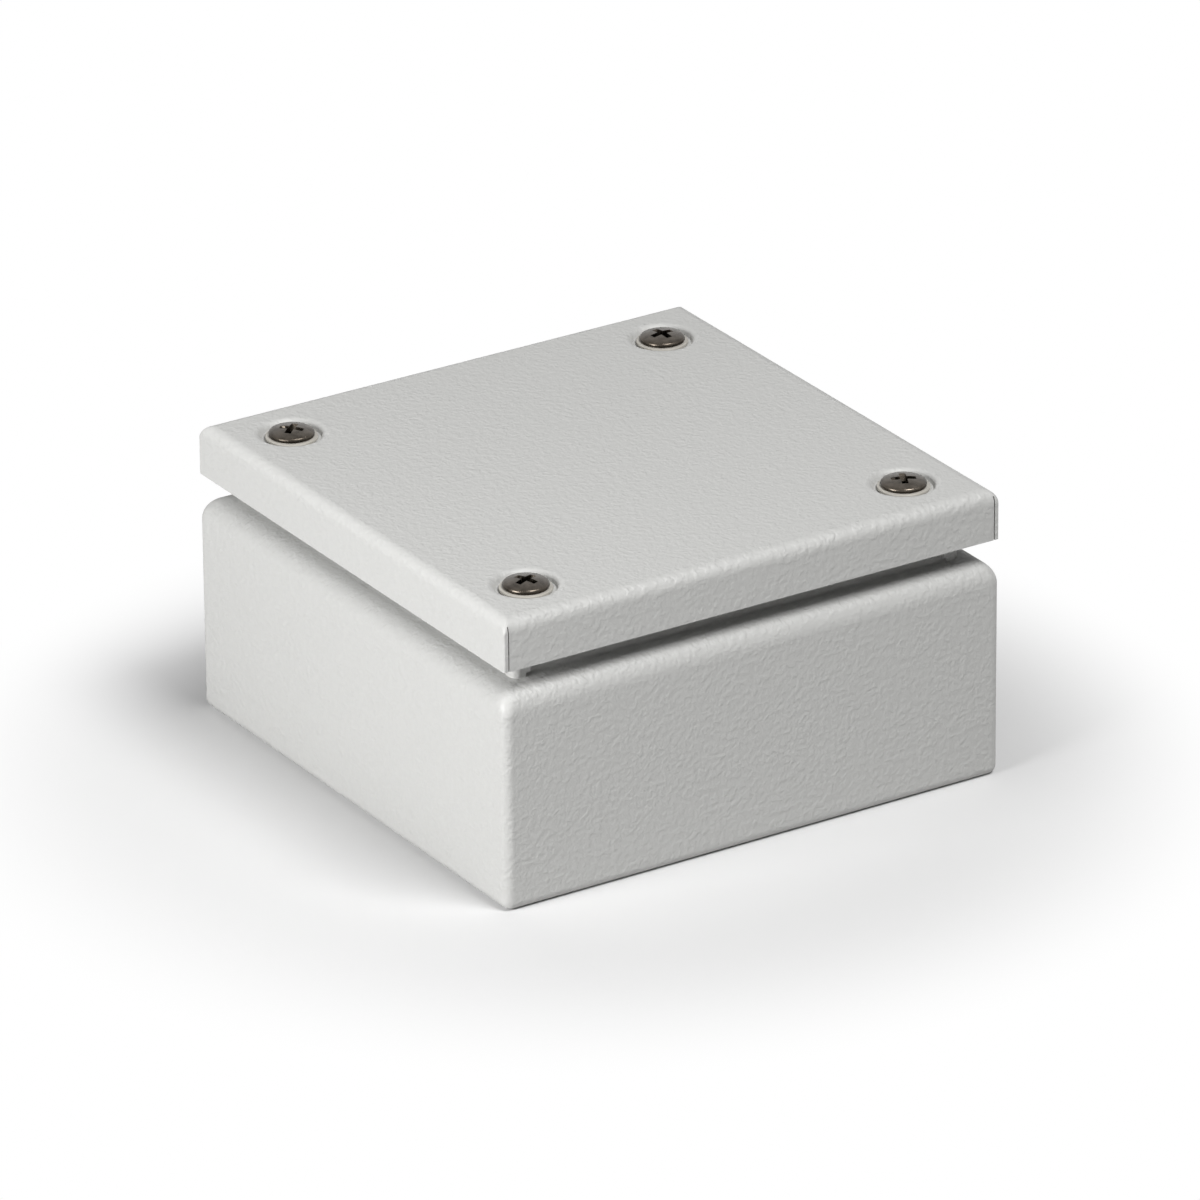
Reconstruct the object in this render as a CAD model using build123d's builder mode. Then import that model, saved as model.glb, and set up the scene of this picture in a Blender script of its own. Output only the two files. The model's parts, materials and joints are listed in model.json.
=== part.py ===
from build123d import *
import math
import os

# A square sheet-steel terminal box with a screwed cover that lifts off.
# The origin is the middle of the base, on the surface that the box stands on. +Z is up,
# -Y is the front, and the cover's screws stand in the four corners. Sizes in millimetres.

# The whole box: outside width and depth, height to the top of the cover, and sheet thickness
side = 150.0
height = 80.0
sheet = 1.25

# Body: one folded shell, with a shoulder that turns in and a collar that stands up from it
wall_corner_radius = 2.5
base_bend_radius = 2.5
shoulder_below_top = 20.0
shoulder_radius = 6.0
collar_inset = 8.8
collar_bend_radius = 1.0
collar_height = 13.4
collar_notch = 2.5
fixing_inset = 17.0
fixing_hole_radius = 3.5

# Corner angles that close the notches of the collar from outside
angle_leg = 5.0
angle_radius = 2.0
angle_bend_clearance = 0.1

# Cover: a folded cap with a seam near each corner and four pressed dimples
cover_setback = 0.4
cover_depth = 13.7
cover_bend_radius = 3.5
cover_corner_radius = 0.5
seam_gap = 0.35
seam_below_top = 1.6
dimple_floor_radius = 7.7
dimple_wall_run = 1.0
dimple_depth = 1.7
dimple_rim_rounding = 1.8

# Foam gasket in the cover
gasket_inset = 4.5
gasket_width = 8.0
gasket_outer_corner_radius = 6.0
gasket_inner_corner_radius = 3.0
gasket_rounding = 1.5
gasket_clearance = 0.3

# Cover screws, M6, with a plastic sealing washer under each head
screw_inset = 18.0
thread_radius = 3.0
thread_clearance = 0.05
screw_length = 16.0
screw_tip_chamfer = 0.6
head_radius = 6.0
head_rim_height = 1.1
head_height = 2.0
head_rounding = 0.8
recess_depth = 2.6
recess_length = 6.8
recess_width = 1.8
recess_end_length = 3.4
recess_end_width = 1.1
clearance_hole_radius = 3.3
sealing_washer_radius = 6.9
sealing_washer_thickness = 1.0
screw_rest_turns = {"front_left": 20, "front_right": 65, "back_left": 40, "back_right": 5}

# Brackets inside the collar that carry the weld nuts
bracket_thickness = 1.5
bracket_width = 17.0
bracket_drop = 9.5
bracket_bend_radius = 0.4
bracket_relief = 1.1
bracket_below_collar = 1.5
bracket_chamfer = 6.0
nut_across_flats = 10.0
nut_height = 5.0
nut_chamfer = 0.7

# Mounting plate on four weld studs, with spacers under it and nuts on top
plate_wall_gap = 15.0
plate_thickness = 2.0
plate_chamfer = 20.0
plate_hole_inset_x = 22.0
plate_hole_inset_y = 10.0
spacer_height = 8.0
spacer_radius = 6.0
spacer_clearance = 0.15
stud_flange_radius = 3.75
stud_flange_height = 1.0
stud_end = 2.0
stud_tip_chamfer = 0.5

# Earth studs, one on the base and one under the cover
earth_inset = 8.0
cover_earth_inset = 23.0
earth_stud_length = 16.0
cover_earth_stud_length = 14.0
earth_washer_radius = 6.0
earth_washer_thickness = 1.6

# Places that follow from the sizes above
half = side / 2
shoulder_top = height - shoulder_below_top
collar_half = half - collar_inset
collar_top = shoulder_top + collar_height
cover_half = half - cover_setback
cover_side = 2 * cover_half
cover_bottom = height - cover_depth
cover_underside = height - sheet
collar_strip_half = collar_half - collar_notch
bend_start_half = collar_half + collar_bend_radius
screw_place = half - screw_inset
shank_radius = thread_radius - thread_clearance
dimple_floor = height - dimple_depth
dimple_rim_radius = dimple_floor_radius + dimple_wall_run
head_seat = dimple_floor + sealing_washer_thickness
bracket_top = collar_top - bracket_below_collar
bracket_outer = collar_half - sheet
plate_side = side - 2 * plate_wall_gap
plate_bottom = sheet + spacer_height
plate_top = plate_bottom + plate_thickness
plate_stud_top = plate_top + nut_height + stud_end
plate_stud_x = plate_side / 2 - plate_hole_inset_x
plate_stud_y = plate_side / 2 - plate_hole_inset_y
corners = {
    "front_left": (-1, -1),
    "front_right": (1, -1),
    "back_left": (-1, 1),
    "back_right": (1, 1),
}

os.makedirs("parts", exist_ok=True)


def save(piece, name):
    """Labels a finished piece and writes it to its own file."""
    piece.part.label = name
    export_step(piece.part, f"parts/{name}.step")


# The space inside the body, one sheet thickness in from its outside
with BuildPart() as body_space:
    with BuildSketch(Plane.XY.offset(sheet)):
        RectangleRounded(side - 2 * sheet, side - 2 * sheet, wall_corner_radius - sheet)
    extrude(amount=shoulder_top - 2 * sheet)
    fillet(body_space.faces().sort_by(Axis.Z)[0].edges(), base_bend_radius - sheet)
    fillet(body_space.faces().sort_by(Axis.Z)[-1].edges(), shoulder_radius - sheet)

# Body shell: base, walls, shoulder and collar, folded from one sheet
with BuildPart() as body_shell:
    with BuildSketch():
        RectangleRounded(side, side, wall_corner_radius)
    extrude(amount=shoulder_top)
    fillet(body_shell.faces().sort_by(Axis.Z)[0].edges(), base_bend_radius)
    fillet(body_shell.faces().sort_by(Axis.Z)[-1].edges(), shoulder_radius)
    add(body_space.part, mode=Mode.SUBTRACT)
    # The opening reaches each fold line of the collar and leaves the shoulder whole at the corners
    with BuildSketch(Plane.XY.offset(shoulder_top)):
        Rectangle(2 * bend_start_half, 2 * collar_strip_half)
        Rectangle(2 * collar_strip_half, 2 * bend_start_half)
    extrude(amount=-shoulder_radius, mode=Mode.SUBTRACT)
    # One collar strip on each side, bent up from the shoulder
    for quarter in range(4):
        outward = Vector(1, 0, 0).rotate(Axis.Z, 90 * quarter)
        along = Vector(0, 1, 0).rotate(Axis.Z, 90 * quarter)
        bend_centre = (bend_start_half, shoulder_top + collar_bend_radius)
        with BuildSketch(Plane(along * collar_strip_half, x_dir=outward, z_dir=-along)):
            with BuildLine():
                CenterArc(bend_centre, collar_bend_radius, 180, 90)
                CenterArc(bend_centre, collar_bend_radius + sheet, 180, 90)
                Line((bend_start_half, shoulder_top), (bend_start_half, shoulder_top - sheet))
                Polyline(
                    (collar_half, shoulder_top + collar_bend_radius),
                    (collar_half, collar_top),
                    (collar_half - sheet, collar_top),
                    (collar_half - sheet, shoulder_top + collar_bend_radius),
                )
            make_face()
        extrude(amount=2 * collar_strip_half)
    # Holes in the base for fixing the box to a wall
    with BuildSketch():
        with GridLocations(side - 2 * fixing_inset, side - 2 * fixing_inset, 2, 2):
            Circle(fixing_hole_radius)
    extrude(amount=sheet, mode=Mode.SUBTRACT)
save(body_shell, "body_shell")


def make_collar_corner(name, x_side, y_side):
    """Corner angle, welded over the notch between two collar strips."""
    outer = collar_half + sheet
    lap_height = collar_bend_radius + angle_bend_clearance
    lap = angle_leg - (outer - collar_strip_half)
    with BuildPart() as piece:
        with BuildSketch(Plane.XY.offset(shoulder_top)):
            with Locations((x_side * (outer - angle_leg / 2), y_side * (outer - angle_leg / 2))):
                Rectangle(angle_leg, angle_leg)
            inner_leg = angle_leg - sheet
            inner_place = collar_half - inner_leg / 2
            with Locations((x_side * inner_place, y_side * inner_place)):
                Rectangle(inner_leg, inner_leg, mode=Mode.SUBTRACT)
        extrude(amount=collar_height)
        # The ends of the legs lap over the strips, above the strips' bends
        lap_middle = outer - angle_leg + lap / 2
        leg_middle = outer - sheet / 2
        with BuildSketch(Plane.XY.offset(shoulder_top)):
            with Locations((x_side * lap_middle, y_side * leg_middle)):
                Rectangle(lap, sheet)
            with Locations((x_side * leg_middle, y_side * lap_middle)):
                Rectangle(sheet, lap)
        extrude(amount=lap_height, mode=Mode.SUBTRACT)
        upright = piece.edges().filter_by(Axis.Z)
        by_distance = upright.sort_by(lambda edge: edge.center().X * x_side + edge.center().Y * y_side)
        fillet(by_distance[-1], angle_radius)
        inside_corner = piece.edges().filter_by(Axis.Z).sort_by_distance(
            (x_side * collar_half, y_side * collar_half, shoulder_top + collar_height / 2)
        )
        fillet(inside_corner[0], angle_radius - sheet)
    save(piece, f"collar_corner_{name}")


def make_screw_bracket(name, x_side, y_side):
    """Folded bracket, welded inside the collar's corner, with a hole for the cover screw."""
    outer_bend = bracket_bend_radius + bracket_thickness
    flat_side = bracket_width - outer_bend
    flat_middle = bracket_outer - bracket_width + flat_side / 2
    flange_length = flat_side - bracket_relief
    bend_centre = (bracket_outer - outer_bend, bracket_top - outer_bend)
    flange_foot = bracket_top - bracket_drop
    with BuildPart() as piece:
        with BuildSketch(Plane.XY.offset(bracket_top)):
            with Locations((x_side * flat_middle, y_side * flat_middle)):
                Rectangle(flat_side, flat_side)
        extrude(amount=-bracket_thickness)
        inner_edge = piece.edges().filter_by(Axis.Z).sort_by_distance((0, 0, bracket_top))
        chamfer(inner_edge[0], bracket_chamfer)
        # Two flanges bent down from the flat, which stop short of the corner between them
        x_outward = Vector(x_side, 0, 0)
        y_outward = Vector(0, y_side, 0)
        for outward, along in ((x_outward, y_outward), (y_outward, x_outward)):
            end = along * (bracket_outer - bracket_width)
            facing = outward.cross(Vector(0, 0, 1))
            with BuildSketch(Plane(end, x_dir=outward, z_dir=facing)):
                with BuildLine():
                    CenterArc(bend_centre, outer_bend, 0, 90)
                    CenterArc(bend_centre, bracket_bend_radius, 0, 90)
                    Line(
                        (bend_centre[0], bracket_top),
                        (bend_centre[0], bracket_top - bracket_thickness),
                    )
                    Polyline(
                        (bracket_outer, bend_centre[1]),
                        (bracket_outer, flange_foot),
                        (bracket_outer - bracket_thickness, flange_foot),
                        (bracket_outer - bracket_thickness, bend_centre[1]),
                    )
                make_face()
            extrude(amount=flange_length * facing.dot(along))
        with BuildSketch(Plane.XY.offset(bracket_top)):
            with Locations((x_side * screw_place, y_side * screw_place)):
                Circle(clearance_hole_radius)
        extrude(amount=-bracket_thickness, mode=Mode.SUBTRACT)
    save(piece, f"screw_bracket_{name}")


def make_nut(name, x, y, top):
    """Hexagon nut, with its corners turned off at both faces."""
    corner_radius = nut_across_flats / math.sqrt(3)
    with BuildPart() as piece:
        with BuildSketch(Plane.XY.offset(top)):
            with Locations((x, y)):
                RegularPolygon(corner_radius, 6)
                Circle(thread_radius, mode=Mode.SUBTRACT)
        extrude(amount=-nut_height)
        face_radius = nut_across_flats / 2
        chamfer_slope = nut_chamfer / (corner_radius - face_radius)
        side_radius = corner_radius + nut_chamfer
        side_drop = chamfer_slope * (side_radius - face_radius)
        with BuildSketch(Plane((x, y, top), x_dir=(1, 0, 0), z_dir=(0, -1, 0))):
            Polygon(
                (0, 0),
                (face_radius, 0),
                (side_radius, -side_drop),
                (side_radius, side_drop - nut_height),
                (face_radius, -nut_height),
                (0, -nut_height),
                align=None,
            )
        revolve(axis=Axis((x, y, 0), (0, 0, 1)), mode=Mode.INTERSECT)
    save(piece, name)


def make_weld_stud(name, x, y, foot, direction, length):
    """Threaded weld stud on the inside of the base (direction 1) or of the cover (direction -1)."""
    with BuildPart() as piece:
        with BuildSketch(Plane.XY.offset(foot)):
            with Locations((x, y)):
                Circle(shank_radius)
        extrude(amount=direction * length)
        tip = piece.faces().filter_by(Axis.Z).sort_by(Axis.Z)[-1 if direction > 0 else 0]
        chamfer(tip.edges(), stud_tip_chamfer)
        with BuildSketch(Plane.XY.offset(foot)):
            with Locations((x, y)):
                Circle(stud_flange_radius)
        extrude(amount=direction * stud_flange_height)
    save(piece, name)


def make_ring(name, x, y, bottom, thickness, outer_radius, bore_radius):
    """Flat washer or spacer tube, standing on the height given."""
    with BuildPart() as piece:
        with BuildSketch(Plane.XY.offset(bottom)):
            with Locations((x, y)):
                Circle(outer_radius)
                Circle(bore_radius, mode=Mode.SUBTRACT)
        extrude(amount=thickness)
    save(piece, name)


def make_cover_screw(name, x, y, rest_turn):
    """Pan-head screw with a cross recess, turned to the angle at which it is tight."""
    with BuildPart() as piece:
        with BuildSketch(Plane((x, y, head_seat), x_dir=(1, 0, 0), z_dir=(0, -1, 0))) as half_section:
            with BuildLine():
                Polyline(
                    (head_radius, head_rim_height),
                    (head_radius, 0),
                    (shank_radius, 0),
                    (shank_radius, screw_tip_chamfer - screw_length),
                    (shank_radius - screw_tip_chamfer, -screw_length),
                    (0, -screw_length),
                    (0, head_height),
                )
                TangentArc((0, head_height), (head_radius, head_rim_height), tangent=(1, 0))
            make_face()
            rim = half_section.vertices().group_by(Axis.X)[-1].sort_by(Axis.Y)[-1]
            fillet(rim, head_rounding)
        revolve(axis=Axis((x, y, 0), (0, 0, 1)))
        # The recess narrows from a wide cross at the head's top to a small one at its foot
        head_top = Plane((x, y, head_seat + head_height)).rotated((0, 0, rest_turn))
        with BuildSketch(head_top) as wide_cross:
            Rectangle(recess_length, recess_width)
            Rectangle(recess_width, recess_length)
        with BuildSketch(head_top.offset(-recess_depth)) as small_cross:
            Rectangle(recess_end_length, recess_end_width)
            Rectangle(recess_end_width, recess_end_length)
        loft([wide_cross.sketch, small_cross.sketch], ruled=True, mode=Mode.SUBTRACT)
    save(piece, name)


# Dimple as pressed into the cover, and the bulge that it makes underneath
dimple_slope = dimple_wall_run / dimple_depth
dimple_growth = sheet * (math.sqrt(1 + dimple_slope**2) - dimple_slope)

# Cover shell: a folded cap that closes over the collar, with sharp corners inside
with BuildPart() as cover_space:
    with BuildSketch(Plane.XY.offset(cover_bottom)):
        Rectangle(cover_side - 2 * sheet, cover_side - 2 * sheet)
    extrude(amount=cover_depth - sheet)
    fillet(cover_space.faces().sort_by(Axis.Z)[-1].edges(), cover_bend_radius - sheet)

with BuildPart() as cover_shell:
    with BuildSketch(Plane.XY.offset(cover_bottom)):
        RectangleRounded(cover_side, cover_side, cover_corner_radius)
    extrude(amount=cover_depth)
    fillet(cover_shell.faces().sort_by(Axis.Z)[-1].edges(), cover_bend_radius)
    add(cover_space.part, mode=Mode.SUBTRACT)
    # Underside of the four dimples, then the dimples themselves and their screw holes
    with GridLocations(2 * screw_place, 2 * screw_place, 2, 2):
        with Locations((0, 0, cover_underside - dimple_depth / 2)):
            Cone(
                dimple_floor_radius + dimple_growth,
                dimple_rim_radius + dimple_growth,
                dimple_depth,
            )
        with Locations((0, 0, height - dimple_depth / 2)):
            Cone(dimple_floor_radius, dimple_rim_radius, dimple_depth, mode=Mode.SUBTRACT)
        with Locations((0, 0, dimple_floor - sheet / 2)):
            Cylinder(clearance_hole_radius, sheet, mode=Mode.SUBTRACT)
    rims = cover_shell.edges().filter_by(GeomType.CIRCLE).group_by(Axis.Z)[-1]
    fillet(rims, dimple_rim_rounding)
    # The front and back flanges stop one sheet and a seam short of the side flanges' faces
    seam_place = cover_half - sheet - seam_gap / 2
    seam_height = height - seam_below_top - cover_bottom
    seam_depth = sheet + cover_bend_radius
    with BuildSketch(Plane.XY.offset(cover_bottom)):
        with GridLocations(2 * seam_place, 2 * (cover_half - seam_depth / 2), 2, 2):
            Rectangle(seam_gap, seam_depth)
    extrude(amount=seam_height, mode=Mode.SUBTRACT)
save(cover_shell, "cover_shell")

# Gasket: a foamed bead in the cover that closes on the collar
gasket_bottom = collar_top + gasket_clearance
gasket_outer = 2 * (cover_half - gasket_inset)
gasket_inner = gasket_outer - 2 * gasket_width
with BuildPart() as cover_gasket:
    with BuildSketch(Plane.XY.offset(gasket_bottom)):
        RectangleRounded(gasket_outer, gasket_outer, gasket_outer_corner_radius)
        RectangleRounded(
            gasket_inner, gasket_inner, gasket_inner_corner_radius, mode=Mode.SUBTRACT
        )
    extrude(amount=cover_underside - gasket_bottom)
    fillet(cover_gasket.faces().sort_by(Axis.Z)[0].edges(), gasket_rounding)
    # The foam lies round the underside of each dimple
    foam_gap = gasket_clearance
    with GridLocations(2 * screw_place, 2 * screw_place, 2, 2):
        with Locations((0, 0, cover_underside - (dimple_depth + foam_gap) / 2)):
            Cone(
                dimple_floor_radius + dimple_growth + foam_gap,
                dimple_rim_radius + dimple_growth + foam_gap,
                dimple_depth + foam_gap,
                mode=Mode.SUBTRACT,
            )
save(cover_gasket, "cover_gasket")

# Corner fittings: collar angle, bracket, weld nut, sealing washer and cover screw
for corner, (x_side, y_side) in corners.items():
    x = x_side * screw_place
    y = y_side * screw_place
    make_collar_corner(corner, x_side, y_side)
    make_screw_bracket(corner, x_side, y_side)
    make_nut(f"weld_nut_{corner}", x, y, bracket_top - bracket_thickness)
    make_ring(
        f"sealing_washer_{corner}",
        x,
        y,
        dimple_floor,
        sealing_washer_thickness,
        sealing_washer_radius,
        thread_radius,
    )
    make_cover_screw(f"cover_screw_{corner}", x, y, screw_rest_turns[corner])

# Mounting plate with its studs, spacers and nuts
with BuildPart() as mounting_plate:
    with BuildSketch(Plane.XY.offset(plate_bottom)) as plate_outline:
        Rectangle(plate_side, plate_side)
        chamfer(plate_outline.vertices(), plate_chamfer)
        with GridLocations(2 * plate_stud_x, 2 * plate_stud_y, 2, 2):
            Circle(clearance_hole_radius, mode=Mode.SUBTRACT)
    extrude(amount=plate_thickness)
save(mounting_plate, "mounting_plate")

for corner, (x_side, y_side) in corners.items():
    x = x_side * plate_stud_x
    y = y_side * plate_stud_y
    make_weld_stud(f"plate_stud_{corner}", x, y, sheet, 1, plate_stud_top - sheet)
    make_ring(
        f"plate_spacer_{corner}",
        x,
        y,
        sheet,
        spacer_height,
        spacer_radius,
        stud_flange_radius + spacer_clearance,
    )
    make_nut(f"plate_nut_{corner}", x, y, plate_top + nut_height)

# Earth connection on the base: stud, washer and nut beside the plate
earth_y = earth_inset - half
earth_washer_bottom = sheet + stud_flange_height
earth_nut_top = earth_washer_bottom + earth_washer_thickness + nut_height
make_weld_stud("earth_stud", 0, earth_y, sheet, 1, earth_stud_length)
make_ring(
    "earth_washer",
    0,
    earth_y,
    earth_washer_bottom,
    earth_washer_thickness,
    earth_washer_radius,
    clearance_hole_radius,
)
make_nut("earth_nut", 0, earth_y, earth_nut_top)

# Earth connection under the cover
cover_earth_y = cover_earth_inset - half
cover_washer_bottom = cover_underside - stud_flange_height - earth_washer_thickness
make_weld_stud("cover_earth_stud", 0, cover_earth_y, cover_underside, -1, cover_earth_stud_length)
make_ring(
    "cover_earth_washer",
    0,
    cover_earth_y,
    cover_washer_bottom,
    earth_washer_thickness,
    earth_washer_radius,
    clearance_hole_radius,
)
make_nut("cover_earth_nut", 0, cover_earth_y, cover_washer_bottom)
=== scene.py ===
import json
import math
import bpy
from mathutils import Matrix, Vector


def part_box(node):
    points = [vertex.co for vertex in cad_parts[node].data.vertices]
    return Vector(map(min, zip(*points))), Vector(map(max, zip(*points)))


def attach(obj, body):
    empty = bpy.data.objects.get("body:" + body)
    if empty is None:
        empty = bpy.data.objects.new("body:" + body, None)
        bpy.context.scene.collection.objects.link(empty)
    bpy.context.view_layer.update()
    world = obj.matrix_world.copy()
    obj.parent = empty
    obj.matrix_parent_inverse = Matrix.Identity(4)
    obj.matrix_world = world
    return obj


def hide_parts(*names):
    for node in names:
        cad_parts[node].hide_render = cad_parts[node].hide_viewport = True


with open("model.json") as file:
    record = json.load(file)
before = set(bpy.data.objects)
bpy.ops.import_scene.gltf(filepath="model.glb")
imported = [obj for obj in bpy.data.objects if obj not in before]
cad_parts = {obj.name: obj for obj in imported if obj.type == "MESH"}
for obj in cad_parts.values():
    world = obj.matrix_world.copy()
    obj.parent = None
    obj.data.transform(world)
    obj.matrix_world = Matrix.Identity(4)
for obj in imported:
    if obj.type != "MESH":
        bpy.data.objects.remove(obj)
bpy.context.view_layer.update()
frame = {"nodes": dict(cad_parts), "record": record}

# View: the box seen from nearly three metres away through a long lens, from a little above,
# with its front left corner towards the camera.
view_azimuth = math.radians(-32.28)
view_elevation = math.radians(24.35)
view_roll = math.radians(-0.5)
view_distance = 2.805
view_shift_right = 0.00046
view_shift_up = 0.0361
lens_length = 323.4
sensor_width = 36
far_limit = 30

view_back = Vector((
    math.sin(view_azimuth) * math.cos(view_elevation),
    -math.cos(view_azimuth) * math.cos(view_elevation),
    math.sin(view_elevation),
))
view_level = Vector((math.cos(view_azimuth), math.sin(view_azimuth), 0))
view_rise = view_back.cross(view_level)
view_right = math.cos(view_roll) * view_level + math.sin(view_roll) * view_rise
view_up = math.cos(view_roll) * view_rise - math.sin(view_roll) * view_level
view_turn = Matrix((view_right, view_up, view_back)).transposed()
view_place = view_turn @ Vector((view_shift_right, view_shift_up, view_distance))
bpy.ops.object.select_all(action="DESELECT")
bpy.ops.object.camera_add(location=view_place, rotation=view_turn.to_euler())
camera = bpy.context.object
camera.name = "photo_view"
camera.data.lens = lens_length
camera.data.sensor_width = sensor_width
camera.data.clip_end = far_limit
bpy.context.scene.camera = camera
bpy.context.scene.view_settings.view_transform = "Standard"


# Studio: a pale floor that fades to white a little way from the box, a small softbox low and
# near on the left, a broad softbox high over the front, and white all round.
floor_size = 16
floor_colour = 0.775
floor_bounce_colour = 0.6
fade_middle = (-0.016, -0.016, 0)
fade_start = 0.095
fade_end = 0.175
lamps = {
    "left_softbox": {"place": (-0.75, -0.12, 0.3), "size": 0.4, "power": 5.6},
    "front_softbox": {"place": (0.3, -0.85, 1.65), "size": 0.7, "power": 24.4},
}
lamp_aim = Vector((0, 0, 0.04))
white = (1, 1, 1, 1)


def set_inputs(node, inputs):
    """Sets a node's inputs to plain values, or links them to the output sockets of other nodes."""
    for name, value in inputs.items():
        if isinstance(value, bpy.types.NodeSocket):
            node.id_data.links.new(value, node.inputs[name])
        else:
            node.inputs[name].default_value = value


def add_node(tree, kind, settings=None, inputs=None):
    """Adds a node with its settings and its inputs."""
    node = tree.nodes.new(kind)
    for name, value in (settings or {}).items():
        setattr(node, name, value)
    set_inputs(node, inputs or {})
    return node


bpy.ops.mesh.primitive_plane_add(size=floor_size)
floor = bpy.context.object
floor.name = "studio_floor"
floor_material = bpy.data.materials.new("pale_floor")
floor_material.use_nodes = True
floor_tree = floor_material.node_tree
floor_tree.nodes.clear()
floor_ray = add_node(floor_tree, "ShaderNodeLightPath")
floor_tone = add_node(floor_tree, "ShaderNodeMapRange", inputs={
    "Value": floor_ray.outputs["Is Camera Ray"],
    "To Min": floor_bounce_colour,
    "To Max": floor_colour,
})
floor_diffuse = add_node(floor_tree, "ShaderNodeBsdfDiffuse", inputs={
    "Color": floor_tone.outputs["Result"],
})
floor_place = add_node(floor_tree, "ShaderNodeTexCoord")
floor_reach = add_node(floor_tree, "ShaderNodeVectorMath", {"operation": "DISTANCE"}, {
    0: floor_place.outputs["Object"],
    1: fade_middle,
})
floor_fade = add_node(floor_tree, "ShaderNodeMapRange", {"interpolation_type": "SMOOTHSTEP"}, {
    "Value": floor_reach.outputs["Value"],
    "From Min": fade_start,
    "From Max": fade_end,
})
seen_fade = add_node(floor_tree, "ShaderNodeMath", {"operation": "MULTIPLY"}, {
    0: floor_fade.outputs["Result"],
    1: floor_ray.outputs["Is Camera Ray"],
})
floor_white = add_node(floor_tree, "ShaderNodeEmission", inputs={"Color": white})
floor_mix = add_node(floor_tree, "ShaderNodeMixShader", inputs={
    0: seen_fade.outputs["Value"],
    1: floor_diffuse.outputs["BSDF"],
    2: floor_white.outputs["Emission"],
})
add_node(floor_tree, "ShaderNodeOutputMaterial", inputs={"Surface": floor_mix.outputs["Shader"]})
floor.data.materials.append(floor_material)

for lamp_name, lamp in lamps.items():
    place = Vector(lamp["place"])
    aim = (lamp_aim - place).to_track_quat("-Z", "Y").to_euler()
    bpy.ops.object.light_add(type="AREA", location=place, rotation=aim)
    softbox = bpy.context.object
    softbox.name = lamp_name
    softbox.data.shape = "SQUARE"
    softbox.data.size = lamp["size"]
    softbox.data.energy = lamp["power"]

world = bpy.data.worlds.new("white_studio")
bpy.context.scene.world = world
world.use_nodes = True
world_tree = world.node_tree
world_tree.nodes.clear()
world_ray = add_node(world_tree, "ShaderNodeLightPath")
seen_or_mirrored = add_node(world_tree, "ShaderNodeMath", {"operation": "MAXIMUM"}, {
    0: world_ray.outputs["Is Camera Ray"],
    1: world_ray.outputs["Is Glossy Ray"],
})
world_strength = add_node(world_tree, "ShaderNodeMath", {"operation": "MAXIMUM"}, {
    0: seen_or_mirrored.outputs["Value"],
    1: world_ray.outputs["Is Transmission Ray"],
})
world_light = add_node(world_tree, "ShaderNodeBackground", inputs={
    "Color": white,
    "Strength": world_strength.outputs["Value"],
})
add_node(world_tree, "ShaderNodeOutputWorld", inputs={
    "Surface": world_light.outputs["Background"],
})


# Painted sheet steel: the body, the corner angles and brackets welded to it, and the cover.
# Folded from cold-rolled sheet and coated all over, inside and out, with a light grey powder
# that melts into a fine, rounded and patchy grain.
coat_colour = (0.605, 0.605, 0.59)
# the coat's colour in the grain's hollows: painted shade, not a tint of the powder
coat_colour_painted_shade = (0.597, 0.597, 0.582)
coat_roughness = 0.5
grain_per_metre = 600
grain_detail = 1.0
grain_wander = 0.2
grain_foot = 0.34
grain_crest = 0.68
grain_height = 0.0001
grain_hollow_limit = 0.45
fine_grain_per_metre = 1300
fine_grain_detail = 1.5
fine_grain_share = 0.4
grain_patches_per_metre = 190
weak_patch_limit = 0.35
strong_patch_limit = 0.62
weak_patch_share = 0.6


def new_material(name, colour, roughness, metallic=0.0):
    """A material with one shader whose plain values are set, and its object coordinates."""
    material = bpy.data.materials.new(name)
    material.use_nodes = True
    shader = material.node_tree.nodes["Principled BSDF"]
    set_inputs(shader, {"Base Color": (*colour, 1), "Roughness": roughness, "Metallic": metallic})
    coordinates = add_node(material.node_tree, "ShaderNodeTexCoord").outputs["Object"]
    return material, shader, coordinates


def new_group(name, inputs, outputs):
    """An empty node group with the named inputs and outputs, and its two end nodes."""
    group = bpy.data.node_groups.new(name, "ShaderNodeTree")
    for socket_name, kind in inputs.items():
        group.interface.new_socket(socket_name, in_out="INPUT", socket_type=kind)
    for socket_name, kind in outputs.items():
        group.interface.new_socket(socket_name, in_out="OUTPUT", socket_type=kind)
    return group, add_node(group, "NodeGroupInput"), add_node(group, "NodeGroupOutput")


def mixed_colour(tree, mask, colour, other_colour):
    """A colour that goes from one to the other where a mask goes from 0 to 1."""
    mix = add_node(tree, "ShaderNodeMix", {"data_type": "RGBA"}, {
        "Factor": mask,
        "A": (*colour, 1),
        "B": (*other_colour, 1),
    })
    return mix.outputs["Result"]


def bumped_normal(tree, mask, height, sunk=False):
    """The normal of a surface that a mask raises, or sinks, by up to a height."""
    bump = add_node(tree, "ShaderNodeBump", {"invert": sunk}, {"Distance": height, "Height": mask})
    return bump.outputs["Normal"]


def nodes_named(*beginnings):
    """The solids of the frame whose names begin in one of the given ways."""
    return [name for name in frame["nodes"] if name.startswith(beginnings)]


def give_material(piece, material):
    """Gives a piece one material in place of those that it has."""
    piece.data.materials.clear()
    piece.data.materials.append(material)
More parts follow.
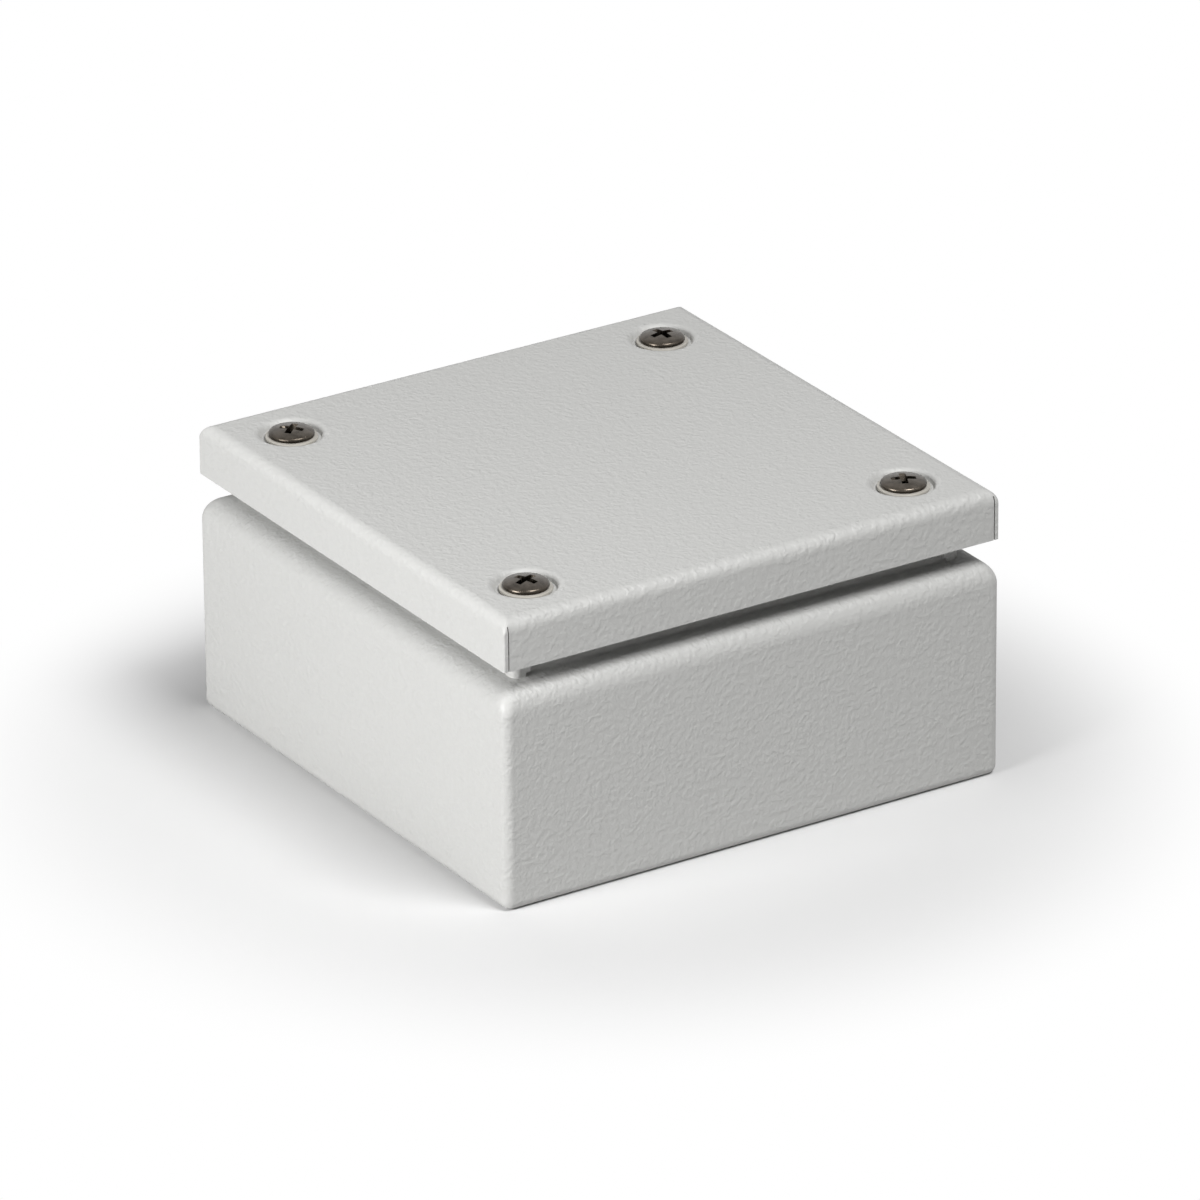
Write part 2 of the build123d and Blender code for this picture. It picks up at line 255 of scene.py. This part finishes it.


# The powder's grain, used on every coated piece: its height, and a mask of its hollows, where the
# coat is painted a little darker as painted shade
grain_group, grain_in, grain_out = new_group(
    "powder_grain",
    {
        "Vector": "NodeSocketVector",
        "Coarse": "NodeSocketFloat",
        "Fine": "NodeSocketFloat",
        "Patches": "NodeSocketFloat",
    },
    {"Height": "NodeSocketFloat", "Hollow Shade": "NodeSocketFloat"},
)
coarse_grain = add_node(grain_group, "ShaderNodeTexNoise", inputs={
    "Vector": grain_in.outputs["Vector"],
    "Scale": grain_in.outputs["Coarse"],
    "Detail": grain_detail,
    "Distortion": grain_wander,
})
soft_step = {"interpolation_type": "SMOOTHSTEP"}
rounded_grain = add_node(grain_group, "ShaderNodeMapRange", soft_step, {
    "Value": coarse_grain.outputs["Fac"],
    "From Min": grain_foot,
    "From Max": grain_crest,
})
patches = add_node(grain_group, "ShaderNodeTexNoise", inputs={
    "Vector": grain_in.outputs["Vector"],
    "Scale": grain_in.outputs["Patches"],
    "Detail": grain_detail,
})
patch_strength = add_node(grain_group, "ShaderNodeMapRange", soft_step, {
    "Value": patches.outputs["Fac"],
    "From Min": weak_patch_limit,
    "From Max": strong_patch_limit,
    "To Min": weak_patch_share,
})
patchy_grain = add_node(grain_group, "ShaderNodeMath", {"operation": "MULTIPLY"}, {
    0: rounded_grain.outputs["Result"],
    1: patch_strength.outputs["Result"],
})
fine_grain = add_node(grain_group, "ShaderNodeTexNoise", inputs={
    "Vector": grain_in.outputs["Vector"],
    "Scale": grain_in.outputs["Fine"],
    "Detail": fine_grain_detail,
})
grain_sum = add_node(grain_group, "ShaderNodeMath", {"operation": "MULTIPLY_ADD"}, {
    0: fine_grain.outputs["Fac"],
    1: fine_grain_share,
    2: patchy_grain.outputs["Value"],
})
# mask of the grain's low parts, where painted shade darkens the coat
grain_hollow_shade = add_node(grain_group, "ShaderNodeMapRange", inputs={
    "Value": patchy_grain.outputs["Value"],
    "From Max": grain_hollow_limit,
    "To Min": 1.0,
    "To Max": 0.0,
})
set_inputs(grain_out, {
    "Height": grain_sum.outputs["Value"],
    "Hollow Shade": grain_hollow_shade.outputs["Result"],
})

coat, coat_shader, coat_place = new_material("powder_coat_light_grey", coat_colour, coat_roughness)
coat_tree = coat.node_tree
coat_grain = add_node(coat_tree, "ShaderNodeGroup", {"node_tree": grain_group}, {
    "Vector": coat_place,
    "Coarse": grain_per_metre,
    "Fine": fine_grain_per_metre,
    "Patches": grain_patches_per_metre,
})
coat_hollow_shade = coat_grain.outputs["Hollow Shade"]
set_inputs(coat_shader, {
    # the grain's hollows take the slightly darker colour: painted shade
    "Base Color": mixed_colour(coat_tree, coat_hollow_shade, coat_colour, coat_colour_painted_shade),
    "Normal": bumped_normal(coat_tree, coat_grain.outputs["Height"], grain_height),
})
for node in nodes_named("body_shell", "cover_shell", "collar_corner_", "screw_bracket_"):
    give_material(frame["nodes"][node], coat)


# Mounting plate: a loose plate of galvanised steel, 2 mm thick with its corners cut off, that
# carries the fittings inside the box. It drops over four studs and nuts hold it down.
galvanised_colour = (0.66, 0.67, 0.69)
galvanised_colour_dark = (0.5, 0.515, 0.54)
galvanised_roughness = (0.34, 0.52)
crystals_per_metre = 110
plate_blotches_per_metre = 45
plate_scratch_depth = 0.00001
blotch_detail = 4.0
blotch_contrast = 0.6
glossy_blotch_limit = 0.3
matt_blotch_limit = 0.7
scratch_stretches = ((1, 18, 6), (16, 1.5, 5))
scratch_detail = 3.0
scratch_wander = 0.4
scratch_foot = 0.61
scratch_crest = 0.68

# Marks of handling, used on every bare metal: slow blotches, and thin scratches both ways
marks_group, marks_in, marks_out = new_group(
    "handling_marks",
    {"Vector": "NodeSocketVector", "Scale": "NodeSocketFloat"},
    {"Blotches": "NodeSocketFloat", "Scratches": "NodeSocketFloat"},
)
blotches = add_node(marks_group, "ShaderNodeTexNoise", inputs={
    "Vector": marks_in.outputs["Vector"],
    "Scale": marks_in.outputs["Scale"],
    "Detail": blotch_detail,
    "Roughness": blotch_contrast,
})
scratches_both_ways = []
for stretch in scratch_stretches:
    stretched = add_node(marks_group, "ShaderNodeVectorMath", {"operation": "MULTIPLY"}, {
        0: marks_in.outputs["Vector"],
        1: stretch,
    })
    lines = add_node(marks_group, "ShaderNodeTexNoise", inputs={
        "Vector": stretched.outputs["Vector"],
        "Scale": marks_in.outputs["Scale"],
        "Detail": scratch_detail,
        "Distortion": scratch_wander,
    })
    thin_lines = add_node(marks_group, "ShaderNodeMapRange", inputs={
        "Value": lines.outputs["Fac"],
        "From Min": scratch_foot,
        "From Max": scratch_crest,
    })
    scratches_both_ways.append(thin_lines.outputs["Result"])
all_scratches = add_node(marks_group, "ShaderNodeMath", {"operation": "MAXIMUM"}, {
    0: scratches_both_ways[0],
    1: scratches_both_ways[1],
})
set_inputs(marks_out, {
    "Blotches": blotches.outputs["Fac"],
    "Scratches": all_scratches.outputs["Value"],
})


def blotchy_gloss(tree, mask, roughness):
    """A roughness that goes from its lower to its higher value with a mask of blotches."""
    gloss = add_node(tree, "ShaderNodeMapRange", inputs={
        "Value": mask,
        "From Min": glossy_blotch_limit,
        "From Max": matt_blotch_limit,
        "To Min": roughness[0],
        "To Max": roughness[1],
    })
    return gloss.outputs["Result"]


galvanised, galvanised_shader, galvanised_place = new_material(
    "galvanised_steel", galvanised_colour, galvanised_roughness[0], metallic=1.0
)
galvanised_tree = galvanised.node_tree
crystals = add_node(galvanised_tree, "ShaderNodeTexVoronoi", inputs={
    "Vector": galvanised_place,
    "Scale": crystals_per_metre,
})
crystal_tone = add_node(galvanised_tree, "ShaderNodeSeparateColor", inputs={
    "Color": crystals.outputs["Color"],
})
plate_marks = add_node(galvanised_tree, "ShaderNodeGroup", {"node_tree": marks_group}, {
    "Vector": galvanised_place,
    "Scale": plate_blotches_per_metre,
})
set_inputs(galvanised_shader, {
    "Base Color": mixed_colour(
        galvanised_tree, crystal_tone.outputs["Red"], galvanised_colour, galvanised_colour_dark
    ),
    "Roughness": blotchy_gloss(
        galvanised_tree, plate_marks.outputs["Blotches"], galvanised_roughness
    ),
    "Normal": bumped_normal(
        galvanised_tree, plate_marks.outputs["Scratches"], plate_scratch_depth, sunk=True
    ),
})
give_material(frame["nodes"]["mounting_plate"], galvanised)


# Spacer tubes under the mounting plate: short lengths of turned steel tube, zinc plated. Each
# stands on the base round a stud and keeps the plate clear of it.
zinc_colour = (0.72, 0.73, 0.75)
zinc_colour_dull = (0.56, 0.57, 0.6)
zinc_roughness = (0.26, 0.42)
zinc_blotches_per_metre = 260
zinc_scratch_depth = 0.000008
bright_blotch_limit = 0.4
dull_blotch_limit = 0.75
spacer_bore_radius = 0.0039
spacer_edge_rounding = 0.0004
ring_steps = 72
corner_steps = 3
closest_points = 0.000002
smooth_angle = math.radians(35)


def worn_metal(name, colour, dull_colour, roughness, marks_per_metre, scratch_depth):
    """A plated or bare metal with slow blotches in its tint and gloss, and fine scratches."""
    material, shader, place = new_material(name, colour, roughness[0], metallic=1.0)
    tree = material.node_tree
    marks = add_node(tree, "ShaderNodeGroup", {"node_tree": marks_group}, {
        "Vector": place,
        "Scale": marks_per_metre,
    })
    dullness = add_node(tree, "ShaderNodeMapRange", inputs={
        "Value": marks.outputs["Blotches"],
        "From Min": bright_blotch_limit,
        "From Max": dull_blotch_limit,
    })
    set_inputs(shader, {
        "Base Color": mixed_colour(tree, dullness.outputs["Result"], colour, dull_colour),
        "Roughness": blotchy_gloss(tree, marks.outputs["Blotches"], roughness),
        "Normal": bumped_normal(tree, marks.outputs["Scratches"], scratch_depth, sunk=True),
    })
    return material


def select_only(piece):
    """Leaves one object selected and active."""
    bpy.ops.object.select_all(action="DESELECT")
    piece.select_set(True)
    bpy.context.view_layer.objects.active = piece


def close_and_smooth(piece):
    """Merges doubled points, turns every face outwards and smooths all but the sharp edges."""
    select_only(piece)
    bpy.ops.object.mode_set(mode="EDIT")
    bpy.ops.mesh.select_all(action="SELECT")
    bpy.ops.mesh.remove_doubles(threshold=closest_points)
    bpy.ops.mesh.select_all(action="SELECT")
    bpy.ops.mesh.normals_make_consistent(inside=False)
    bpy.ops.object.mode_set(mode="OBJECT")
    bpy.ops.object.shade_smooth_by_angle(angle=smooth_angle)


def centre_of(node):
    """Middle of a solid, seen from above."""
    low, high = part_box(node)
    return (low[0] + high[0]) / 2, (low[1] + high[1]) / 2


def turned_ring(name, node, bore_radius, rounding):
    """A ring as wide and high as a solid: a section with rounded corners, spun round its middle."""
    low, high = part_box(node)
    x, y = centre_of(node)
    bottom, top = low[2], high[2]
    outer_radius = (high[0] - low[0]) / 2
    section_x = x + (bore_radius + outer_radius) / 2
    bpy.ops.object.select_all(action="DESELECT")
    bpy.ops.mesh.primitive_plane_add(
        size=1, location=(section_x, y, (bottom + top) / 2), rotation=(math.pi / 2, 0, 0)
    )
    ring = bpy.context.object
    ring.name = name
    ring.scale = (outer_radius - bore_radius, top - bottom, 1)
    bpy.ops.object.transform_apply(location=True, rotation=True, scale=True)
    bpy.ops.object.mode_set(mode="EDIT")
    bpy.ops.mesh.select_all(action="SELECT")
    bpy.ops.mesh.bevel(offset=rounding, segments=corner_steps, affect="VERTICES")
    bpy.ops.mesh.select_all(action="SELECT")
    bpy.ops.mesh.delete(type="ONLY_FACE")
    bpy.ops.mesh.select_all(action="SELECT")
    bpy.ops.mesh.spin(steps=ring_steps, angle=2 * math.pi, center=(x, y, 0), axis=(0, 0, 1))
    bpy.ops.object.mode_set(mode="OBJECT")
    close_and_smooth(ring)
    return ring


def finish_piece(piece, material, node):
    """Gives a piece its material and slot, and puts it in a solid's place on the solid's body."""
    give_material(piece, material)
    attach(piece, body_of_node[node])
    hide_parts(node)


body_of_node = {}
for body, members in frame["record"]["behaviour"]["bodies"].items():
    for member in members:
        body_of_node[member] = body

zinc = worn_metal(
    "bright_zinc_plate", zinc_colour, zinc_colour_dull, zinc_roughness,
    zinc_blotches_per_metre, zinc_scratch_depth,
)
for node in nodes_named("plate_spacer_"):
    spacer = turned_ring(f"turned_{node}", node, spacer_bore_radius, spacer_edge_rounding)
    finish_piece(spacer, zinc, node)


# Washers of the two earth connections: flat rings stamped from steel sheet and zinc plated, with
# the rounded edges that stamping and barrel plating leave.
earth_washer_bore_radius = 0.0033
earth_washer_rounding = 0.0003
for node in ("earth_washer", "cover_earth_washer"):
    washer = turned_ring(f"stamped_{node}", node, earth_washer_bore_radius, earth_washer_rounding)
    finish_piece(washer, zinc, node)


# Hexagon nuts: cold-formed from steel bar and zinc plated, with their corners turned off at both
# faces and the bore countersunk. Four hold the plate, four are welded under the screw brackets,
# and one closes each earth connection.
nut_flat_to_flat = 0.010
nut_bore_radius = 0.003
nut_countersink_radius = 0.0034
nut_face_radius = 0.0047
nut_corner_drop = 0.0007
nut_edge_rounding = 0.00012
nut_overcut = 0.001
nut_barrel_clearance = 0.0001
edge_steps = 2
nut_nodes = nodes_named("plate_nut_", "weld_nut_", "earth_nut", "cover_earth_nut")


def laid_line(name, points, foot=0.0):
    """A line of (radius, height) points above a foot, laid down one by one in edit mode."""
    (first_radius, first_height), *others = points
    bpy.ops.object.select_all(action="DESELECT")
    bpy.ops.mesh.primitive_plane_add(
        size=closest_points, location=(first_radius, 0, foot + first_height)
    )
    piece = bpy.context.object
    piece.name = name
    bpy.ops.object.transform_apply(location=True, rotation=True, scale=True)
    bpy.ops.object.mode_set(mode="EDIT")
    bpy.ops.mesh.select_all(action="SELECT")
    bpy.ops.mesh.merge(type="CENTER")
    last_radius, last_height = first_radius, first_height
    for radius, height in others:
        bpy.ops.mesh.extrude_vertices_move(
            TRANSFORM_OT_translate={"value": (radius - last_radius, 0, height - last_height)}
        )
        last_radius, last_height = radius, height
    return piece


def turned_profile(name, points, steps=ring_steps):
    """A turned body: a line of (radius, height) points, spun about the upright."""
    piece = laid_line(name, points)
    bpy.ops.mesh.select_all(action="SELECT")
    bpy.ops.mesh.spin(steps=steps, angle=2 * math.pi, center=(0, 0, 0), axis=(0, 0, 1))
    bpy.ops.object.mode_set(mode="OBJECT")
    close_and_smooth(piece)
    return piece


def combine(piece, other, operation):
    """Cuts a piece with another, keeps what they share, or joins them; the other one goes."""
    select_only(piece)
    step = piece.modifiers.new(operation.lower(), "BOOLEAN")
    step.operation = operation
    step.solver = "EXACT"
    step.object = other
    bpy.ops.object.modifier_apply(modifier=step.name)
    bpy.data.objects.remove(other)
    close_and_smooth(piece)


def round_edges(piece, width):
    """Takes the sharpness off every edge of a piece."""
    select_only(piece)
    rounding = piece.modifiers.new("edges", "BEVEL")
    rounding.width = width
    rounding.segments = edge_steps
    rounding.limit_method = "ANGLE"
    rounding.angle_limit = smooth_angle
    bpy.ops.object.modifier_apply(modifier="edges")
    close_and_smooth(piece)


def placed_copy(piece, name, place, turn=0.0, flip=False):
    """A copy with its own mesh, put in place and left with its object at the origin."""
    select_only(piece)
    bpy.ops.object.duplicate()
    copy = bpy.context.object
    copy.name = name
    copy.location = place
    copy.rotation_euler = (math.pi if flip else 0, 0, turn)
    bpy.ops.object.transform_apply(location=True, rotation=True, scale=True)
    return copy


nut_low, nut_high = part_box(nut_nodes[0])
nut_height = nut_high[2] - nut_low[2]
nut_corner_radius = nut_flat_to_flat / math.sqrt(3)
bpy.ops.object.select_all(action="DESELECT")
bpy.ops.mesh.primitive_cylinder_add(
    vertices=6, radius=nut_corner_radius, depth=nut_height,
    location=(0, 0, nut_height / 2), rotation=(0, 0, math.pi / 6),
)
nut = bpy.context.object
nut.name = "hexagon_nut"
bpy.ops.object.transform_apply(location=True, rotation=True, scale=True)
barrel_radius = nut_corner_radius + nut_barrel_clearance
barrel = turned_profile("nut_barrel", [
    (0, -nut_overcut),
    (nut_face_radius - nut_overcut, -nut_overcut),
    (nut_face_radius, 0),
    (barrel_radius, nut_corner_drop),
    (barrel_radius, nut_height - nut_corner_drop),
    (nut_face_radius, nut_height),
    (nut_face_radius - nut_overcut, nut_height + nut_overcut),
    (0, nut_height + nut_overcut),
])
combine(nut, barrel, "INTERSECT")
countersink = nut_countersink_radius - nut_bore_radius
bore = turned_profile("nut_bore", [
    (0, -nut_overcut),
    (nut_countersink_radius + nut_overcut, -nut_overcut),
    (nut_countersink_radius, 0),
    (nut_bore_radius, countersink),
    (nut_bore_radius, nut_height - countersink),
    (nut_countersink_radius, nut_height),
    (nut_countersink_radius + nut_overcut, nut_height + nut_overcut),
    (0, nut_height + nut_overcut),
])
combine(nut, bore, "DIFFERENCE")
round_edges(nut, nut_edge_rounding)
for node in nut_nodes:
    low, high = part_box(node)
    node_nut = placed_copy(nut, f"formed_{node}", (*centre_of(node), low[2]))
    finish_piece(node_nut, zinc, node)
bpy.data.objects.remove(nut)


# Weld studs: cold-headed steel with a rolled M6 thread and a thin coat of copper, each with a
# flange that is stud-welded to the sheet. Four hold the mounting plate, and one on the base and
# one on the cover take the earth wires.
copper_colour = (0.76, 0.47, 0.34)
copper_colour_dull = (0.5, 0.27, 0.18)
copper_roughness = (0.28, 0.5)
copper_blotches_per_metre = 320
copper_scratch_depth = 0.000006
thread_pitch = 0.001
thread_crest_radius = 0.00295
thread_root_radius = 0.00242
thread_root_edge = 0.12 * thread_pitch
thread_crest_edge = 0.44 * thread_pitch
thread_steps = 32
thread_spare_turns = 2
thread_tip_chamfer = 0.0006
flange_radius = 0.00375
flange_height = 0.001
flange_rounding = 0.00015
flange_overlap = 0.0003
thread_allowance = 0.00004


def threaded_rod(name, bottom, top, chamfered_end):
    """A rolled thread between two heights, with one end cut square and the other chamfered."""
    start = bottom - thread_spare_turns * thread_pitch
    rod = laid_line(name, [
        (thread_root_radius, 0),
        (thread_root_radius, thread_root_edge),
        (thread_crest_radius, thread_crest_edge),
        (thread_crest_radius, thread_pitch - thread_crest_edge),
        (thread_root_radius, thread_pitch - thread_root_edge),
        (thread_root_radius, thread_pitch),
    ], start)
    bpy.ops.object.mode_set(mode="OBJECT")
    helix = rod.modifiers.new("helix", "SCREW")
    helix.axis = "Z"
    helix.screw_offset = thread_pitch
    helix.iterations = math.ceil((top - start) / thread_pitch) + thread_spare_turns
    helix.steps = thread_steps
    helix.render_steps = thread_steps
    select_only(rod)
    bpy.ops.object.modifier_apply(modifier="helix")
    close_and_smooth(rod)
    bpy.ops.object.mode_set(mode="EDIT")
    for height, upwards in ((bottom, False), (top, True)):
        bpy.ops.mesh.select_all(action="SELECT")
        bpy.ops.mesh.bisect(
            plane_co=(0, 0, height), plane_no=(0, 0, 1), use_fill=True,
            clear_outer=upwards, clear_inner=not upwards,
        )
    bpy.ops.object.mode_set(mode="OBJECT")
    close_and_smooth(rod)
    wide = thread_crest_radius + thread_allowance
    chamfer_radius = thread_crest_radius - thread_tip_chamfer
    if chamfered_end == "top":
        envelope_line = [
            (0, bottom - thread_pitch),
            (wide, bottom - thread_pitch),
            (wide, top - thread_tip_chamfer),
            (chamfer_radius, top + thread_allowance),
            (0, top + thread_allowance),
        ]
    else:
        envelope_line = [
            (0, bottom - thread_allowance),
            (chamfer_radius, bottom - thread_allowance),
            (wide, bottom + thread_tip_chamfer),
            (wide, top + thread_pitch),
            (0, top + thread_pitch),
        ]
    combine(rod, turned_profile("thread_envelope", envelope_line), "INTERSECT")
    return rod


def weld_stud(name, length):
    """A stud that stands on its flange, with its foot at height zero."""
    stud = threaded_rod(name, flange_height - flange_overlap, length, "top")
    flange = turned_profile("stud_flange", [
        (0, 0),
        (flange_radius - flange_rounding, 0),
        (flange_radius, flange_rounding),
        (flange_radius, flange_height - flange_rounding),
        (flange_radius - flange_rounding, flange_height),
        (0, flange_height),
    ])
    combine(stud, flange, "UNION")
    return stud


copper = worn_metal(
    "copper_plated_steel", copper_colour, copper_colour_dull, copper_roughness,
    copper_blotches_per_metre, copper_scratch_depth,
)
for kind in ("plate_stud", "earth_stud", "cover_earth_stud"):
    stud_nodes = nodes_named(kind)
    low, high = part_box(stud_nodes[0])
    stud = weld_stud(f"{kind}_pattern", high[2] - low[2])
    hangs = kind == "cover_earth_stud"
    for node in stud_nodes:
        low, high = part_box(node)
        foot = high[2] if hangs else low[2]
        node_stud = placed_copy(stud, f"threaded_{node}", (*centre_of(node), foot), flip=hangs)
        finish_piece(node_stud, copper, node)
    bpy.data.objects.remove(stud)


# Gasket: a bead of polyurethane foam poured into the cover, where it sets and sticks to the
# sheet. Its skin is slightly uneven and matt, and the collar presses into it.
foam_colour = (0.06, 0.06, 0.065)
foam_colour_pale = (0.1, 0.1, 0.105)
foam_roughness = 0.85
foam_cell = 0.0007
foam_smoothing = 6
foam_unevenness = 0.00018
foam_wave_length = 0.006
foam_pores_per_metre = 2400
foam_pore_softness = 0.6
foam_pore_depth = 0.00008
foam_clouds_per_metre = 200
foam_cloud_detail = 4.0

gasket_node = frame["nodes"]["cover_gasket"]
gasket = bpy.data.objects.new("foam_gasket", gasket_node.data.copy())
bpy.context.scene.collection.objects.link(gasket)
close_and_smooth(gasket)
foam_skin = gasket.modifiers.new("skin", "REMESH")
foam_skin.mode = "VOXEL"
foam_skin.voxel_size = foam_cell
bpy.ops.object.modifier_apply(modifier="skin")
foam_relax = gasket.modifiers.new("relax", "SMOOTH")
foam_relax.iterations = foam_smoothing
bpy.ops.object.modifier_apply(modifier="relax")
foam_waves = bpy.data.textures.new("foam_waves", "CLOUDS")
foam_waves.noise_scale = foam_wave_length
foam_hollows = gasket.modifiers.new("hollows", "DISPLACE")
foam_hollows.texture = foam_waves
foam_hollows.strength = foam_unevenness
foam_hollows.mid_level = 1.0  # the skin only sinks, so the bead stays inside its solid
bpy.ops.object.modifier_apply(modifier="hollows")
close_and_smooth(gasket)
bpy.ops.object.shade_smooth()

foam, foam_shader, foam_place = new_material("dark_grey_foam", foam_colour, foam_roughness)
foam_tree = foam.node_tree
pores = add_node(foam_tree, "ShaderNodeTexVoronoi", {"feature": "SMOOTH_F1"}, {
    "Vector": foam_place,
    "Scale": foam_pores_per_metre,
    "Smoothness": foam_pore_softness,
})
foam_clouds = add_node(foam_tree, "ShaderNodeTexNoise", inputs={
    "Vector": foam_place,
    "Scale": foam_clouds_per_metre,
    "Detail": foam_cloud_detail,
})
set_inputs(foam_shader, {
    "Base Color": mixed_colour(
        foam_tree, foam_clouds.outputs["Fac"], foam_colour, foam_colour_pale
    ),
    "Normal": bumped_normal(foam_tree, pores.outputs["Distance"], foam_pore_depth),
})
finish_piece(gasket, foam, "cover_gasket")


# Sealing washers under the cover screws: moulded from natural nylon, slightly yellow, with a
# rounded rim. Each grips its screw's thread and so stays on it when the screw is taken out.
nylon_colour = (0.53, 0.51, 0.465)
nylon_colour_warm = (0.47, 0.445, 0.395)
nylon_roughness = 0.42
nylon_clouds_per_metre = 500
nylon_cloud_detail = 3.0
nylon_flow_depth = 0.00001
sealing_washer_bore_radius = 0.003
sealing_washer_rounding = 0.0004

nylon, nylon_shader, nylon_place = new_material("natural_nylon", nylon_colour, nylon_roughness)
nylon_tree = nylon.node_tree
nylon_clouds = add_node(nylon_tree, "ShaderNodeTexNoise", inputs={
    "Vector": nylon_place,
    "Scale": nylon_clouds_per_metre,
    "Detail": nylon_cloud_detail,
})
nylon_flow = nylon_clouds.outputs["Fac"]
set_inputs(nylon_shader, {
    "Base Color": mixed_colour(nylon_tree, nylon_flow, nylon_colour, nylon_colour_warm),
    "Normal": bumped_normal(nylon_tree, nylon_flow, nylon_flow_depth),
})
for node in nodes_named("sealing_washer_"):
    washer = turned_ring(
        f"moulded_{node}", node, sealing_washer_bore_radius, sealing_washer_rounding
    )
    finish_piece(washer, nylon, node)


# Cover screws: M6 pan-head machine screws of dark bright steel with a cross recess. They pass
# through the cover's dimples into the weld nuts, and each stands at the turn it was tightened to.
screw_colour = (0.1, 0.086, 0.071)
screw_colour_dull = (0.034, 0.029, 0.023)
screw_roughness = (0.17, 0.3)
screw_blotches_per_metre = 420
screw_scratch_depth = 0.000006
screw_seat = 0.0793
screw_head_radius = 0.006
screw_head_height = 0.002
screw_rim_height = 0.0011
screw_head_rounding = 0.0008
screw_band_rounding = 0.00015
screw_rounding_steps = 8
screw_dome_steps = 12
screw_head_steps = 96
screw_thread_start = 0.0004
screw_length = 0.016
recess_length = 0.0068
recess_width = 0.0018
recess_end_length = 0.0034
recess_end_width = 0.0011
recess_depth = 0.0026
recess_over = 0.0006
recess_edge_rounding = 0.00007
facing_down = -0.9
screw_turns = {
    "cover_screw_front_left": 20,
    "cover_screw_front_right": 65,
    "cover_screw_back_left": 40,
    "cover_screw_back_right": 5,
}

dome_rise = screw_head_height - screw_rim_height
dome_radius = (screw_head_radius**2 + dome_rise**2) / (2 * dome_rise)
dome_middle = screw_head_height - dome_radius
rounding_middle = screw_head_radius - screw_head_rounding
dome_angle = math.asin(rounding_middle / (dome_radius - screw_head_rounding))
rounding_height = dome_middle + (dome_radius - screw_head_rounding) * math.cos(dome_angle)
head_line = [
    (0, 0),
    (screw_head_radius - screw_band_rounding, 0),
    (screw_head_radius, screw_band_rounding),
]
for step in range(screw_rounding_steps):
    angle = (math.pi / 2 - dome_angle) * step / screw_rounding_steps
    head_line.append((
        rounding_middle + screw_head_rounding * math.cos(angle),
        rounding_height + screw_head_rounding * math.sin(angle),
    ))
for step in range(screw_dome_steps + 1):
    angle = dome_angle * (1 - step / screw_dome_steps)
    head_line.append((
        dome_radius * math.sin(angle),
        dome_middle + dome_radius * math.cos(angle),
    ))
head = turned_profile("pan_head", head_line, screw_head_steps)

# The cross recess: two tapered blades at right angles, each cut out of the head
end_slope = (recess_length - recess_end_length) / recess_depth
side_slope = (recess_width - recess_end_width) / recess_depth
blade_length = recess_length + end_slope * recess_over
blade_width = recess_width + side_slope * recess_over
for turn in (0, math.pi / 2):
    bpy.ops.object.select_all(action="DESELECT")
    bpy.ops.mesh.primitive_cube_add(size=1)
    blade = bpy.context.object
    blade.scale = (blade_length, blade_width, recess_depth + recess_over)
    blade.location = (0, 0, screw_head_height + (recess_over - recess_depth) / 2)
    bpy.ops.object.transform_apply(location=True, rotation=True, scale=True)
    bpy.ops.object.mode_set(mode="EDIT")
    bpy.ops.mesh.select_all(action="DESELECT")
    bpy.ops.object.mode_set(mode="OBJECT")
    for face in blade.data.polygons:
        face.select = face.normal.z < facing_down
    bpy.ops.object.mode_set(mode="EDIT")
    bpy.ops.transform.resize(value=(
        recess_end_length / blade_length,
        recess_end_width / blade_width,
        1,
    ))
    bpy.ops.object.mode_set(mode="OBJECT")
    blade.rotation_euler = (0, 0, turn)
    bpy.ops.object.transform_apply(location=True, rotation=True, scale=True)
    combine(head, blade, "DIFFERENCE")
round_edges(head, recess_edge_rounding)
shank = threaded_rod("screw_thread", -screw_length, screw_thread_start, "bottom")
combine(head, shank, "UNION")

screw_steel = worn_metal(
    "dark_bright_steel", screw_colour, screw_colour_dull, screw_roughness,
    screw_blotches_per_metre, screw_scratch_depth,
)
for node, turn in screw_turns.items():
    place = (*centre_of(node), screw_seat)
    screw = placed_copy(head, f"threaded_{node}", place, turn=math.radians(turn))
    finish_piece(screw, screw_steel, node)
bpy.data.objects.remove(head)
